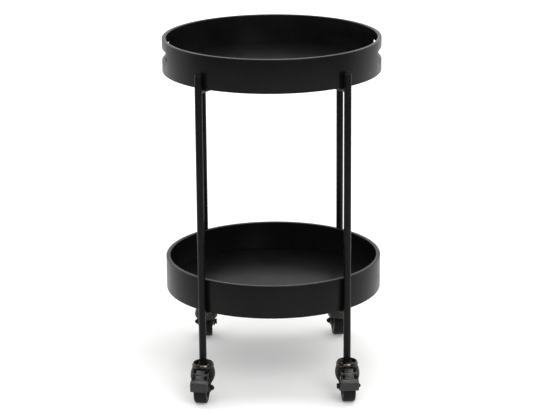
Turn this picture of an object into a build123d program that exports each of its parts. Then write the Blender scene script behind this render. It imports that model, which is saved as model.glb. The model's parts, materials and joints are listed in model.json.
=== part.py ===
from build123d import *
import math
import os

os.makedirs("parts", exist_ok=True)

# Round bar cart with two trays on a welded frame with four swivel casters.
# All lengths are millimetres. The origin is on the floor under the axis of
# the trays, +Z is up, -Y is the front and the hand slots face -X and +X.

# Trays
tray_diameter = 420.0
tray_height = 64.0
wall_thickness = 8.0
base_thickness = 9.0
rabbet_depth = 4.0
floor_lip_height = 1.2
floor_joint_gap = 0.4
glue_gap = 0.05
rim_edge_radius = 1.2
foot_edge_radius = 0.8
hand_slot_length = 132.0
hand_slot_height = 24.0
hand_slot_drop = 30.5
slot_edge_radius = 1.6
lower_tray_level = 175.0
tier_spacing = 434.0

# Frame
leg_diameter = 14.0
leg_wall = 1.5
leg_angle = 50.7
leg_tray_gap = 0.4
leg_lap = 28.0
leg_cap_thickness = 2.0
leg_cap_edge = 0.6
leg_plug_length = 9.0
press_gap = 0.02
insert_length = 24.0
bar_diameter = 8.0
tray_seat_gap = 0.2
cope_gap = 0.05
weld_throat_thickness = 1.4
weld_leg = 7.0
weld_sink = 5.0
weld_top_drop = 0.5

# Screw tabs under the lower tray
tab_circle_radius = 120.0
tab_width = 18.0
tab_reach = 14.0
tab_thickness = 3.0
tab_bar_bite = 1.4
tab_corner_radius = 6.0
screw_diameter = 4.0
screw_bite = 6.0
screw_head_diameter = 8.0
screw_head_height = 2.4
screw_head_edge = 1.2
screw_recess_length = 4.4
screw_recess_width = 0.9
screw_recess_depth = 1.4
screw_hole_gap = 0.3

# Casters, each drawn with its stem on the Z axis and trailing towards -Y
wheel_diameter = 60.0
wheel_width = 24.0
hub_width = 28.0
tyre_thickness = 6.5
tyre_edge_radius = 3.0
hub_rim_thickness = 4.0
hub_core_diameter = 17.0
hub_web_thickness = 6.0
hub_rib_count = 6
hub_rib_thickness = 2.4
hub_rib_depth = 5.0
hub_edge_radius = 1.0
axle_diameter = 6.0
axle_gap = 0.05
caster_trail = 19.0
washer_thickness = 0.8
washer_diameter = 13.0
washer_play = 0.1
nut_flats = 10.0
nut_height = 5.0
nut_corner_bevel = 0.6
bolt_head_height = 4.5
bolt_end_length = 1.6
bolt_end_bevel = 0.8

fork_gauge = 2.2
crown_radius = 20.6
crown_edge_radius = 0.9
belly_radius = 23.4
belly_lead = 4.75
cheek_half_angle = 43.0
back_web_depth = 17.0
back_web_lap = 9.0
lug_radius = 9.0
rivet_gap = 1.2
rivet_height = 2.6
rivet_diameter = 16.0
rivet_edge_radius = 1.3
neck_diameter = 10.0
neck_gap = 0.05
swivel_play = 0.2

ball_diameter = 4.0
ball_count = 14
race_radius = 13.0
race_depth = 1.0
race_gap = 0.05

cap_radius = 21.0
cap_gauge = 2.2
cap_rim_height = 3.6
cap_rim_width = 3.6
cap_rim_radius = 2.2
cap_lip_radius = 1.1
cap_well_radius = 1.1
cap_skirt_gap = 0.5
hex_flats = 14.0
hex_height = 4.0
stem_diameter = 8.0
stem_length = 20.0
thread_gap = 0.05

# Foot brake on the two front casters
shoe_gap = 2.6
lever_width = 17.0
lever_top_angle = 80.0
lever_thickness = 3.0
ridge_angles = (60.0, 47.0)
ridge_height = 1.1
ridge_width = 2.6
pedal_width = 34.0
pedal_top_angle = 41.0
pedal_foot_angle = 5.0
pedal_reach = 36.0
pedal_bevel = 6.0
pedal_edge_radius = 2.2
pivot_angle = 62.0
pivot_boss_radius = 3.2
pivot_tyre_gap = 0.8
pin_diameter = 3.0
pin_gap = 0.05
pin_head_diameter = 5.0
pin_head_height = 1.0
ear_tyre_gap = 0.9
ear_play = 0.4
ear_radius = 4.4

# Where each caster was left turned, in degrees from trailing to the front
front_left_swivel_angle = -8.0
front_right_swivel_angle = 4.0
rear_left_swivel_angle = 180.0
rear_right_swivel_angle = 186.0

# Levels that follow from the sizes above
tray_radius = tray_diameter / 2
wall_inner_radius = tray_radius - wall_thickness
rabbet_radius = wall_inner_radius + rabbet_depth
upper_tray_level = lower_tray_level + tier_spacing
leg_radius = leg_diameter / 2
leg_bore_radius = leg_radius - leg_wall
leg_circle_radius = tray_radius + leg_tray_gap + leg_radius
leg_x = leg_circle_radius * math.cos(math.radians(leg_angle))
leg_y = leg_circle_radius * math.sin(math.radians(leg_angle))
bar_radius = bar_diameter / 2
weld_length = weld_leg + weld_sink
weld_radius = bar_radius + weld_throat_thickness * weld_length / weld_leg
lower_bar_level = lower_tray_level - tray_seat_gap - bar_radius
upper_bar_level = upper_tray_level - tray_seat_gap - bar_radius

wheel_radius = wheel_diameter / 2
axle_radius = axle_diameter / 2
rivet_level = wheel_diameter + rivet_gap
crown_level = rivet_level + rivet_height + swivel_play
crown_top = crown_level + fork_gauge
ball_radius = ball_diameter / 2
ball_level = crown_top - race_depth + ball_radius + race_gap
cap_level = ball_level + ball_radius + race_gap - race_depth
cap_floor = cap_level + cap_gauge
leg_foot_level = cap_floor + hex_height
leg_top_level = upper_tray_level + leg_lap

lug_inner = hub_width / 2 + washer_thickness + 2 * washer_play
lug_outer = lug_inner + fork_gauge

pivot_distance = wheel_radius + pivot_tyre_gap + pivot_boss_radius
shoe_radius = wheel_radius + shoe_gap
shank_rise = shoe_radius + lever_thickness
ear_inner = wheel_width / 2 + ear_tyre_gap
ear_outer = ear_inner + fork_gauge


def save(name, *solids):
    shape = solids[0] if len(solids) == 1 else Compound(children=list(solids))
    export_step(shape, f"parts/{name}.step")


def rod(radius, bottom, top):
    low = (Align.CENTER, Align.CENTER, Align.MIN)
    return Pos(0, 0, bottom) * Cylinder(radius, top - bottom, align=low)


def cross_rod(radius, start, end):
    # A round bar along X.
    return Rot(0, 90, 0) * rod(radius, start, end)


def hexagon(flats, bottom, top):
    # A six-sided bar whose corners are taken off at both ends. A side of the
    # outline is as long as the distance from its middle to a corner.
    outline = RegularPolygon(flats / 2, 6, major_radius=False)
    bar = Pos(0, 0, bottom) * extrude(outline, top - bottom)
    turning = rod(outline.edges()[0].length, bottom, top)
    return bar & chamfer(turning.edges().filter_by(GeomType.CIRCLE), nut_corner_bevel)


def turned(points, rounded=()):
    # Turns a closed outline of radius and height about Z. Each rounded entry
    # is a corner's number in the outline and its radius.
    outline = make_face(Plane.XZ * Polyline(*points, close=True))
    for number, radius in rounded:
        corner = Plane.XZ.from_local_coords(Vector(*points[number]))
        nearest = outline.vertices().sort_by_distance(corner)[0]
        outline = fillet(nearest, radius)
    return revolve(outline, Axis.Z)


# The trays

def tray_rim(level, slotted):
    # Bent hoop with a rabbet at its foot for the floor panel.
    top = level + tray_height
    shoulder = level + base_thickness - floor_lip_height
    hoop = turned(
        [
            (wall_inner_radius, top),
            (tray_radius, top),
            (tray_radius, level),
            (rabbet_radius, level),
            (rabbet_radius, shoulder),
            (wall_inner_radius, shoulder),
        ],
        [(0, rim_edge_radius), (1, rim_edge_radius), (2, foot_edge_radius)],
    )
    if not slotted:
        return hoop
    slot_level = top - hand_slot_drop
    slot = SlotOverall(hand_slot_length, hand_slot_height)
    through = extrude(Plane.YZ * Pos(0, slot_level) * slot, tray_diameter, both=True)
    hoop -= through
    lips = [
        edge
        for edge in hoop.edges().filter_by(GeomType.LINE, reverse=True)
        if abs(edge.center().Z - slot_level) < hand_slot_height / 2 + rim_edge_radius
        and abs(edge.center().Y) < hand_slot_length / 2 + rim_edge_radius
    ]
    return fillet(lips, slot_edge_radius)


def tray_base(level):
    # Floor panel, thinned at its edge into a tongue that fits the rabbet.
    top = level + base_thickness
    tongue = rod(rabbet_radius - glue_gap, level, top - floor_lip_height)
    return tongue + rod(wall_inner_radius - floor_joint_gap, level, top)


save("top_tray_rim", tray_rim(upper_tray_level, True))
save("top_tray_base", tray_base(upper_tray_level))
save("lower_tray_rim", tray_rim(lower_tray_level, False))


# The frame

corners = {
    "front_left": (-leg_x, -leg_y),
    "front_right": (leg_x, -leg_y),
    "rear_left": (-leg_x, leg_y),
    "rear_right": (leg_x, leg_y),
}

tube_top = leg_top_level - leg_cap_thickness
tube = rod(leg_radius, leg_foot_level, tube_top)
tube -= rod(leg_bore_radius, leg_foot_level, tube_top)
end_cap = rod(leg_radius, tube_top, leg_top_level)
end_cap = fillet(end_cap.edges().group_by(Axis.Z)[-1], leg_cap_edge)
end_cap += rod(leg_bore_radius - press_gap, tube_top - leg_plug_length, tube_top)
insert = rod(leg_bore_radius - press_gap, leg_foot_level, leg_foot_level + insert_length)
insert -= rod(stem_diameter / 2 + thread_gap, leg_foot_level, leg_foot_level + insert_length)

for corner, (x, y) in corners.items():
    save(f"leg_{corner}", Pos(x, y, 0) * tube)
save("leg_end_caps", *[Pos(x, y, 0) * end_cap for x, y in corners.values()])
save("leg_stem_inserts", *[Pos(x, y, 0) * insert for x, y in corners.values()])


def arm(angle, bar_level):
    # One arm of a cross, from the cart's axis out to a leg, with its weld
    # flaring against the tube and trimmed just below the top of the bar.
    low = (Align.CENTER, Align.CENTER, Align.MIN)
    bar = cross_rod(bar_radius, 0, leg_circle_radius)
    flare = Cone(bar_radius, weld_radius, weld_length, align=low)
    weld = Rot(0, 90, 0) * Pos(0, 0, leg_circle_radius - leg_radius - weld_leg) * flare
    top = Box(2 * leg_circle_radius, 2 * weld_radius, weld_radius, align=low)
    weld -= Pos(0, 0, bar_radius - weld_top_drop) * top
    leg = Pos(leg_circle_radius, 0, 0) * Cylinder(leg_radius, 4 * weld_radius)
    return Pos(0, 0, bar_level) * Rot(0, 0, angle) * (bar + weld - leg)


def cross(bar_level):
    # A long bar between two opposite legs and two half bars coped to it.
    long_bar = arm(leg_angle, bar_level) + arm(leg_angle + 180, bar_level)
    cope = cross_rod(bar_radius + cope_gap, -leg_circle_radius, leg_circle_radius)
    cope = Pos(0, 0, bar_level) * Rot(0, 0, leg_angle) * cope
    halves = [arm(angle, bar_level) - cope for angle in (180 - leg_angle, 360 - leg_angle)]
    return long_bar, halves


upper_long, upper_halves = cross(upper_bar_level)
lower_long, lower_halves = cross(lower_bar_level)
save("upper_cross_long_bar", upper_long)
save("upper_cross_half_bars", *upper_halves)
save("lower_cross_long_bar", lower_long)
save("lower_cross_half_bars", *lower_halves)

arm_angles = (leg_angle, 180 - leg_angle, 180 + leg_angle, 360 - leg_angle)
screw_offset = bar_radius + tab_reach / 2
tab_start = bar_radius - tab_bar_bite
tab_end = bar_radius + tab_reach
tab_outline = Pos(tab_circle_radius, (tab_start + tab_end) / 2) * Rectangle(tab_width, tab_end - tab_start)
tab_outline = fillet(tab_outline.vertices().group_by(Axis.Y)[-1], tab_corner_radius)
tab_outline -= Pos(tab_circle_radius, screw_offset) * Circle(screw_diameter / 2 + screw_hole_gap)
tab_floor = lower_tray_level - tab_thickness
lower_bar = Pos(0, 0, lower_bar_level) * cross_rod(bar_radius, 0, leg_circle_radius)
tab = Pos(0, 0, tab_floor) * extrude(tab_outline, tab_thickness) - lower_bar
screw = rod(screw_head_diameter / 2, tab_floor - screw_head_height, tab_floor)
screw = fillet(screw.edges().group_by(Axis.Z)[0], screw_head_edge)
recess = Box(screw_recess_length, screw_recess_width, 2 * screw_recess_depth)
screw -= Pos(0, 0, tab_floor - screw_head_height) * (recess + Rot(0, 0, 90) * recess)
screw += rod(screw_diameter / 2, tab_floor, lower_tray_level + screw_bite)
screw = Pos(tab_circle_radius, screw_offset, 0) * screw
screws = [Rot(0, 0, angle) * screw for angle in arm_angles]
lower_base = tray_base(lower_tray_level)
for solid in screws:
    lower_base -= solid
save("lower_tray_base", lower_base)
save("lower_tray_tabs", *[Rot(0, 0, angle) * tab for angle in arm_angles])
save("lower_tray_screws", *screws)


# The casters

axle_spot = Pos(0, -caster_trail, wheel_radius)


def wheel_point(radius, angle):
    # A point in the wheel's plane, as distance forwards and height. The
    # angle rises from straight forwards of the axle.
    turn = math.radians(angle)
    return (
        -caster_trail - radius * math.cos(turn),
        wheel_radius + radius * math.sin(turn),
    )


def ball_race():
    return Pos(0, 0, ball_level) * Torus(race_radius, ball_radius + race_gap)


def caster_stem():
    # Threaded stem, hexagon, dished upper race and riveted foot in one piece.
    skirt = crown_top + cap_skirt_gap
    rim_top = cap_floor + cap_rim_height
    well = cap_radius - cap_rim_width
    cover = turned(
        [
            (0, cap_level),
            (crown_radius - cap_gauge, cap_level),
            (crown_radius - cap_gauge, skirt),
            (cap_radius, skirt),
            (cap_radius, rim_top),
            (well, rim_top),
            (well, cap_floor),
            (0, cap_floor),
        ],
        [(4, cap_rim_radius), (5, cap_lip_radius), (6, cap_well_radius)],
    )
    cover -= ball_race()
    foot = rod(rivet_diameter / 2, rivet_level, rivet_level + rivet_height)
    foot = fillet(foot.edges().group_by(Axis.Z)[0], rivet_edge_radius)
    neck = rod(neck_diameter / 2, rivet_level + rivet_height, cap_level)
    nut = hexagon(hex_flats, cap_floor, leg_foot_level)
    thread = rod(stem_diameter / 2, leg_foot_level, leg_foot_level + stem_length)
    return cover + foot + neck + nut + thread


def race_balls():
    ball = Pos(race_radius, 0, ball_level) * Sphere(ball_radius)
    return [Rot(0, 0, 360 * number / ball_count) * ball for number in range(ball_count)]


def cheek_section(radius, centre_y, level):
    # Cross-section of one bent cheek, an arc of sheet on the +X side.
    ends = []
    for size in (radius, radius - fork_gauge):
        for angle in (-cheek_half_angle, 0, cheek_half_angle):
            turn = math.radians(angle)
            ends.append((size * math.cos(turn), centre_y + size * math.sin(turn)))
    outline = [
        ThreePointArc(ends[0], ends[1], ends[2]),
        Line(ends[2], ends[5]),
        ThreePointArc(ends[5], ends[4], ends[3]),
        Line(ends[3], ends[0]),
    ]
    return Pos(0, 0, level) * make_face(outline)


def back_web():
    # Arc of sheet that closes the fork behind the wheel and laps the cheeks.
    top = crown_level + fork_gauge / 2
    bottom = top - back_web_depth
    ring = rod(crown_radius, bottom, top) - rod(crown_radius - fork_gauge, bottom, top)
    edge = crown_radius * math.sin(math.radians(cheek_half_angle)) - back_web_lap
    behind = Box(crown_radius * 2, crown_radius, top, align=(Align.CENTER, Align.MIN, Align.MIN))
    return ring & Pos(0, edge, 0) * behind


def caster_fork(braked):
    # Round crown with two bent cheeks that flatten into the axle lugs.
    crown = turned(
        [
            (neck_diameter / 2 + neck_gap, crown_level),
            (crown_radius, crown_level),
            (crown_radius, crown_top),
            (neck_diameter / 2 + neck_gap, crown_top),
        ],
        [(1, crown_edge_radius), (2, crown_edge_radius)],
    )
    crown -= ball_race()
    lug_level = wheel_radius + lug_radius
    belly_level = (crown_level + lug_level) / 2
    lug_face = Pos((lug_inner + lug_outer) / 2, -caster_trail, lug_level) * Rectangle(
        fork_gauge, 2 * lug_radius
    )
    cheek = loft(
        [
            cheek_section(crown_radius, 0, crown_level + fork_gauge / 2),
            cheek_section(belly_radius, -belly_lead, belly_level),
            lug_face,
        ]
    )
    lug_shape = Circle(lug_radius) + Pos(0, lug_radius / 2) * Rectangle(2 * lug_radius, lug_radius)
    lug = Plane.YZ.offset(lug_inner) * Pos(-caster_trail, wheel_radius) * lug_shape
    side = cheek + extrude(lug, fork_gauge)
    if braked:
        pin_y, pin_z = wheel_point(pivot_distance, pivot_angle)
        root_y = -crown_radius * math.sin(math.radians(cheek_half_angle))
        corner_spots = [
            Pos(pin_y, pin_z),
            Pos(root_y, crown_level - ear_radius),
            Pos(root_y, belly_level),
        ]
        rounds = [(spot * Circle(ear_radius)).edges()[0] for spot in corner_spots]
        ear = extrude(Plane.YZ.offset(ear_inner) * make_hull(rounds), fork_gauge)
        side += ear
        hole = Pos(0, pin_y, pin_z) * cross_rod(pin_diameter / 2 + pin_gap, 0, belly_radius)
        side -= hole
    side -= axle_spot * cross_rod(axle_radius + axle_gap, 0, belly_radius)
    return crown + back_web() + side + mirror(side, Plane.YZ)


def wheel_hub():
    half_hub = hub_width / 2
    half_seat = wheel_width / 2
    half_web = hub_web_thickness / 2
    seat = wheel_radius - tyre_thickness
    rim_inner = seat - hub_rim_thickness
    core = hub_core_diameter / 2
    bore = axle_radius + axle_gap
    body = turned(
        [
            (bore, -half_hub),
            (core, -half_hub),
            (core, -half_web),
            (rim_inner, -half_web),
            (rim_inner, -half_seat),
            (seat, -half_seat),
            (seat, half_seat),
            (rim_inner, half_seat),
            (rim_inner, half_web),
            (core, half_web),
            (core, half_hub),
            (bore, half_hub),
        ],
        [(1, hub_edge_radius), (10, hub_edge_radius)],
    )
    rib = Pos((core + rim_inner) / 2, 0, 0) * Box(
        rim_inner - core + hub_rim_thickness, hub_rib_thickness, hub_web_thickness + 2 * hub_rib_depth
    )
    for number in range(hub_rib_count):
        body += Rot(0, 0, 360 * number / hub_rib_count) * rib
    return axle_spot * Rot(0, 90, 0) * body


def tyre():
    half = wheel_width / 2
    seat = wheel_radius - tyre_thickness
    ring = turned(
        [(seat, -half), (wheel_radius, -half), (wheel_radius, half), (seat, half)],
        [(1, tyre_edge_radius), (2, tyre_edge_radius)],
    )
    return axle_spot * Rot(0, 90, 0) * ring


def axle_bolt():
    shank_end = lug_outer + nut_height + bolt_end_length
    bolt = rod(axle_radius, -lug_outer, shank_end)
    bolt = chamfer(bolt.edges().group_by(Axis.Z)[-1], bolt_end_bevel)
    bolt += hexagon(nut_flats, -lug_outer - bolt_head_height, -lug_outer)
    return axle_spot * Rot(0, 90, 0) * bolt


def axle_nut():
    nut = hexagon(nut_flats, lug_outer, lug_outer + nut_height)
    nut -= rod(axle_radius + thread_gap, lug_outer, lug_outer + nut_height)
    return axle_spot * Rot(0, 90, 0) * nut


def axle_washers():
    start = hub_width / 2 + washer_play
    washer = cross_rod(washer_diameter / 2, start, start + washer_thickness)
    washer -= cross_rod(axle_radius + axle_gap, start, start + washer_thickness)
    washer = axle_spot * washer
    return [washer, mirror(washer, Plane.YZ)]


def swept(outline, width):
    # A shape drawn in the wheel's plane, given its width either side of it.
    return extrude(Plane.YZ * outline, width / 2, both=True)


def shank_point(rise, angle):
    # A point on a line square to the pivot's angle, that far from the axle.
    return wheel_point(rise / math.cos(math.radians(angle - pivot_angle)), angle)


def lever_slab(inner, rise, low_angle, high_angle):
    # A slab with its hollow side along the tyre and its outer side flat.
    middle = (low_angle + high_angle) / 2
    return make_face(
        [
            ThreePointArc(*[wheel_point(inner, angle) for angle in (low_angle, middle, high_angle)]),
            Line(wheel_point(inner, high_angle), shank_point(rise, high_angle)),
            Line(shank_point(rise, high_angle), shank_point(rise, low_angle)),
            Line(shank_point(rise, low_angle), wheel_point(inner, low_angle)),
        ]
    )


def brake_lever():
    # Moulded foot lever: a ridged shank over the tyre and a wide pedal in
    # front of it, whose hollow back is the brake shoe.
    lever = swept(lever_slab(shoe_radius, shank_rise, pedal_top_angle, lever_top_angle), lever_width)
    for angle in ridge_angles:
        spread = math.degrees(ridge_width / 2 / shank_rise)
        ridge = lever_slab(shoe_radius, shank_rise + ridge_height, angle - spread, angle + spread)
        lever += swept(ridge, lever_width)
    crest = shank_point(shank_rise, pedal_top_angle)
    back = wheel_point(shoe_radius, pedal_top_angle)
    middle = wheel_point(shoe_radius, (pedal_top_angle + pedal_foot_angle) / 2)
    foot = wheel_point(shoe_radius, pedal_foot_angle)
    front = -caster_trail - pedal_reach
    toe = (front, foot[1])
    brow = (front, crest[1] - pedal_bevel)
    hollow = ThreePointArc(back, middle, foot)
    pedal = make_face([hollow, Line(foot, toe), Line(toe, brow), Line(brow, crest), Line(crest, back)])
    block = swept(pedal, pedal_width)
    shoe_edges = block.faces().filter_by(GeomType.CYLINDER).edges()
    outer_edges = [edge for edge in block.edges() if edge not in shoe_edges]
    lever += fillet(outer_edges, pedal_edge_radius)
    pin_y, pin_z = wheel_point(pivot_distance, pivot_angle)
    reach = ear_inner - ear_play
    lever += Pos(0, pin_y, pin_z) * cross_rod(pivot_boss_radius, -reach, reach)
    return lever - Pos(0, pin_y, pin_z) * cross_rod(pin_diameter / 2 + pin_gap, -reach, reach)


def brake_pin():
    pin = cross_rod(pin_diameter / 2, -ear_outer, ear_outer)
    head = cross_rod(pin_head_diameter / 2, ear_outer, ear_outer + pin_head_height)
    pin += head + mirror(head, Plane.YZ)
    pin_y, pin_z = wheel_point(pivot_distance, pivot_angle)
    return Pos(0, pin_y, pin_z) * pin


swivels = {
    "front_left": (front_left_swivel_angle, True),
    "front_right": (front_right_swivel_angle, True),
    "rear_left": (rear_left_swivel_angle, False),
    "rear_right": (rear_right_swivel_angle, False),
}
one_of_each = {
    "stem": [caster_stem()],
    "balls": race_balls(),
    "wheel_hub": [wheel_hub()],
    "tyre": [tyre()],
    "axle_bolt": [axle_bolt()],
    "axle_nut": [axle_nut()],
    "axle_washers": axle_washers(),
}
plain_fork = caster_fork(False)
braked_fork = caster_fork(True)
lever = brake_lever()
pin = brake_pin()

for corner, (angle, braked) in swivels.items():
    spot = Pos(*corners[corner], 0) * Rot(0, 0, angle)
    for piece, solids in one_of_each.items():
        save(f"caster_{corner}_{piece}", *[spot * solid for solid in solids])
    save(f"caster_{corner}_fork", spot * (braked_fork if braked else plain_fork))
    if braked:
        save(f"caster_{corner}_brake_lever", spot * lever)
        save(f"caster_{corner}_brake_pin", spot * pin)
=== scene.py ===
import json
import math

import bmesh
import bpy
from bpy.props import FloatProperty, FloatVectorProperty, IntProperty, PointerProperty
from bpy.types import NodeSocket, Operator, Panel, PropertyGroup
from mathutils import Matrix, Vector

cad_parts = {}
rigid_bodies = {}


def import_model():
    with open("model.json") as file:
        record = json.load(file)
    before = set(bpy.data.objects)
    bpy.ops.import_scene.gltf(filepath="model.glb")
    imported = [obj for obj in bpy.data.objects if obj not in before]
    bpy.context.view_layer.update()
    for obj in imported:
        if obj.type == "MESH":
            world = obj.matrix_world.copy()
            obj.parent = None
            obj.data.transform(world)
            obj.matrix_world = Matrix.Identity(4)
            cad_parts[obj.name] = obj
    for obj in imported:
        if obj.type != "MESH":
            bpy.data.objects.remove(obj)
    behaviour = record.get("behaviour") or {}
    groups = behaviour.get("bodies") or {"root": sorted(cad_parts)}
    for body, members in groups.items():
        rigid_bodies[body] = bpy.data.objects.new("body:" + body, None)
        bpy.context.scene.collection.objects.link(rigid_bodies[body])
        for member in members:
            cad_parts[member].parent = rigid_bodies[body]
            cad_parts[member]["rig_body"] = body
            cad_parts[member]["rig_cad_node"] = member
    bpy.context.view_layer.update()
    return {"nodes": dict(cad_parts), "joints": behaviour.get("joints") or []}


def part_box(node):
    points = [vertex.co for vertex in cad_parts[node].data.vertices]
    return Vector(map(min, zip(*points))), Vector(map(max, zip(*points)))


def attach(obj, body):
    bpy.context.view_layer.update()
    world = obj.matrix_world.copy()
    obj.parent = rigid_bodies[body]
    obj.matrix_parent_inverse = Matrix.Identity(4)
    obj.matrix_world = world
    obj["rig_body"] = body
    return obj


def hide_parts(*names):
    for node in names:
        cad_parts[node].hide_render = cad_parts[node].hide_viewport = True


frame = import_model()

bl_info = {
    "name": "Round Bar Cart",
    "version": (1, 0, 0),
    "blender": (4, 5, 0),
    "location": "3D View > Sidebar > Bar Cart",
    "description": "Dresses a round two-tier bar cart: painted trays, coated frame and braked casters",
    "category": "Object",
}

MM = 0.001
QUARTER_TURN = math.pi / 2
# How far a point may lie from the place where it is looked for
NEAR = 0.02 * MM
CORNERS = ("front_left", "front_right", "rear_left", "rear_right")
BRAKED = ("front_left", "front_right")
# The body that each tray belongs to
TRAYS = {"top": "top_tray", "lower": "frame"}
JOINTS = {joint["name"]: joint for joint in frame["joints"]}
# Where the axle lies on a caster that is drawn round the Z axis
TRAIL = 19 * MM
AXLE_LEVEL = 30 * MM
AXLE = Vector((0, -TRAIL, AXLE_LEVEL))
COLOUR = {"subtype": "COLOR", "size": 3, "min": 0, "max": 1}


def caster_place(corner):
    """The matrix that takes a caster drawn round the Z axis to a corner of the cart."""
    x, y, _ = JOINTS[f"{corner}_swivel"]["pos_m"]
    axle = JOINTS[f"{corner}_wheel_spin"]["axis"]
    return Matrix.Translation((x, y, 0)) @ Matrix.Rotation(math.atan2(axle[1], axle[0]), 4, "Z")


# Sizes and finishes


class CartSizes(PropertyGroup):
    """Sizes of the details that are added to the plain pieces."""

    wall: FloatProperty(
        name="Tray wall", description="Thickness of a tray's hoop", default=8 * MM, unit="LENGTH"
    )
    rim_edge: FloatProperty(
        name="Rim edge", description="Rounding of a hoop's upper edges", default=1.2 * MM, unit="LENGTH"
    )
    foot_edge: FloatProperty(
        name="Foot edge", description="Rounding of a hoop's lower edge", default=0.8 * MM, unit="LENGTH"
    )
    slot_edge: FloatProperty(
        name="Slot edge", description="Rounding of the hand slots", default=1.5 * MM, unit="LENGTH"
    )
    slot_length: FloatProperty(
        name="Slot length", description="Length of a hand slot", default=132 * MM, unit="LENGTH"
    )
    slot_height: FloatProperty(
        name="Slot height", description="Height of a hand slot", default=24 * MM, unit="LENGTH"
    )
    slot_drop: FloatProperty(
        name="Slot drop",
        description="From the rim's top to the middle of a hand slot",
        default=30.5 * MM,
        unit="LENGTH",
    )
    lip: FloatProperty(
        name="Floor lip",
        description="Step of a floor panel above its tongue",
        default=1.2 * MM,
        unit="LENGTH",
    )
    joint_line: FloatProperty(
        name="Joint line",
        description="Width of the fine groove between a floor and its wall",
        default=0.4 * MM,
        unit="LENGTH",
    )
    hoop_steps: IntProperty(name="Hoop steps", description="Segments round a tray", default=240, min=48)
    tyre_steps: IntProperty(name="Tyre steps", description="Segments round a tyre", default=96, min=24)
    head_steps: IntProperty(name="Head steps", description="Segments round a dished head", default=64, min=16)
    tube_steps: IntProperty(name="Tube steps", description="Segments round a tube", default=48, min=16)
    bar_steps: IntProperty(name="Bar steps", description="Segments round a bar or bolt", default=32, min=16)


class CartFinishes(PropertyGroup):
    """Colours of the finishes."""

    paint: FloatVectorProperty(
        name="Tray paint", description="Satin paint on the trays", default=(0.0038, 0.0038, 0.0037), **COLOUR
    )
    coat: FloatVectorProperty(
        name="Frame coat", description="Powder coat on the tubes", default=(0.0046, 0.0046, 0.0046), **COLOUR
    )
    cap: FloatVectorProperty(
        name="Caps", description="Plastic caps in the tubes", default=(0.006, 0.006, 0.006), **COLOUR
    )
    head: FloatVectorProperty(
        name="Caster heads",
        description="Dark bright plating on the dished heads",
        default=(0.085, 0.078, 0.068),
        **COLOUR,
    )
    fork: FloatVectorProperty(
        name="Forks",
        description="Dark dull plating on the pressed forks",
        default=(0.044, 0.039, 0.035),
        **COLOUR,
    )
    fastener: FloatVectorProperty(
        name="Fasteners",
        description="Blackened bolts, nuts, pins and screws",
        default=(0.016, 0.016, 0.016),
        **COLOUR,
    )
    zinc: FloatVectorProperty(
        name="Zinc", description="Zinc plating on hidden steel", default=(0.45, 0.44, 0.42), **COLOUR
    )
    rubber: FloatVectorProperty(
        name="Rubber", description="Tyre rubber", default=(0.005, 0.005, 0.005), **COLOUR
    )
    lever: FloatVectorProperty(
        name="Lever", description="Moulded brake levers", default=(0.011, 0.0108, 0.0105), **COLOUR
    )
    hub: FloatVectorProperty(
        name="Hub", description="Moulded wheel cores", default=(0.012, 0.012, 0.012), **COLOUR
    )


class CartStage(PropertyGroup):
    """Camera and floor."""

    lens: FloatProperty(
        name="Lens",
        description="Focal length on a 36 mm wide sensor",
        default=142.1524,
        subtype="DISTANCE_CAMERA",
    )
    eye: FloatVectorProperty(
        name="Eye",
        description="Where the camera stands",
        default=(-0.044035, -3.9932432, 1.5218832),
        subtype="XYZ",
        size=3,
        unit="LENGTH",
    )
    heading: FloatProperty(
        name="Heading",
        description="Camera turned to the right of +Y",
        default=math.radians(0.5494),
        subtype="ANGLE",
    )
    tilt: FloatProperty(
        name="Tilt", description="Camera tilted down", default=math.radians(16.6713), subtype="ANGLE"
    )
    roll: FloatProperty(
        name="Roll",
        description="Camera turned about its own axis",
        default=math.radians(-0.4537),
        subtype="ANGLE",
    )
    floor_size: FloatProperty(name="Floor", description="Side of the floor", default=40.0, unit="LENGTH")
    floor_colour: FloatVectorProperty(
        name="Floor colour", description="Pale studio floor", default=(0.94, 0.94, 0.93), **COLOUR
    )
    floor_mirrored: FloatVectorProperty(
        name="Mirrored floor", description="The floor as gloss shows it", default=(0.5, 0.5, 0.49), **COLOUR
    )


def sizes():
    return bpy.context.scene.cart_sizes


def finishes():
    return bpy.context.scene.cart_finishes


# Modelling helpers


def deselect():
    """Leave edit mode with nothing selected."""
    if bpy.context.mode != "OBJECT":
        bpy.ops.object.mode_set(mode="OBJECT")
    bpy.ops.object.select_all(action="DESELECT")


def focus(piece):
    """Make a piece the only selected one."""
    deselect()
    piece.select_set(True)
    bpy.context.view_layer.objects.active = piece


def rename(piece, name):
    """Give a piece and its mesh one name."""
    piece.name = name
    piece.data.name = name
    return piece


def settle(piece, place):
    """Move a piece by a matrix and put its place into its mesh."""
    focus(piece)
    piece.matrix_world = place
    bpy.ops.object.transform_apply(location=True, rotation=True, scale=True)
    return piece


def begin(name, add, **size):
    """Add a primitive, put its place into its mesh and open it with nothing picked."""
    deselect()
    add(**size)
    piece = rename(bpy.context.object, name)
    bpy.ops.object.transform_apply(location=True, rotation=True, scale=True)
    bpy.ops.object.mode_set(mode="EDIT")
    bpy.ops.mesh.select_mode(type="VERT")
    bpy.ops.mesh.select_all(action="DESELECT")
    return piece


def begin_rod(name, steps, radius, length, spot):
    """Begin a round rod along X."""
    return begin(
        name,
        bpy.ops.mesh.primitive_cylinder_add,
        vertices=steps,
        radius=radius,
        depth=length,
        location=spot,
        rotation=(0, QUARTER_TURN, 0),
    )


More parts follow.
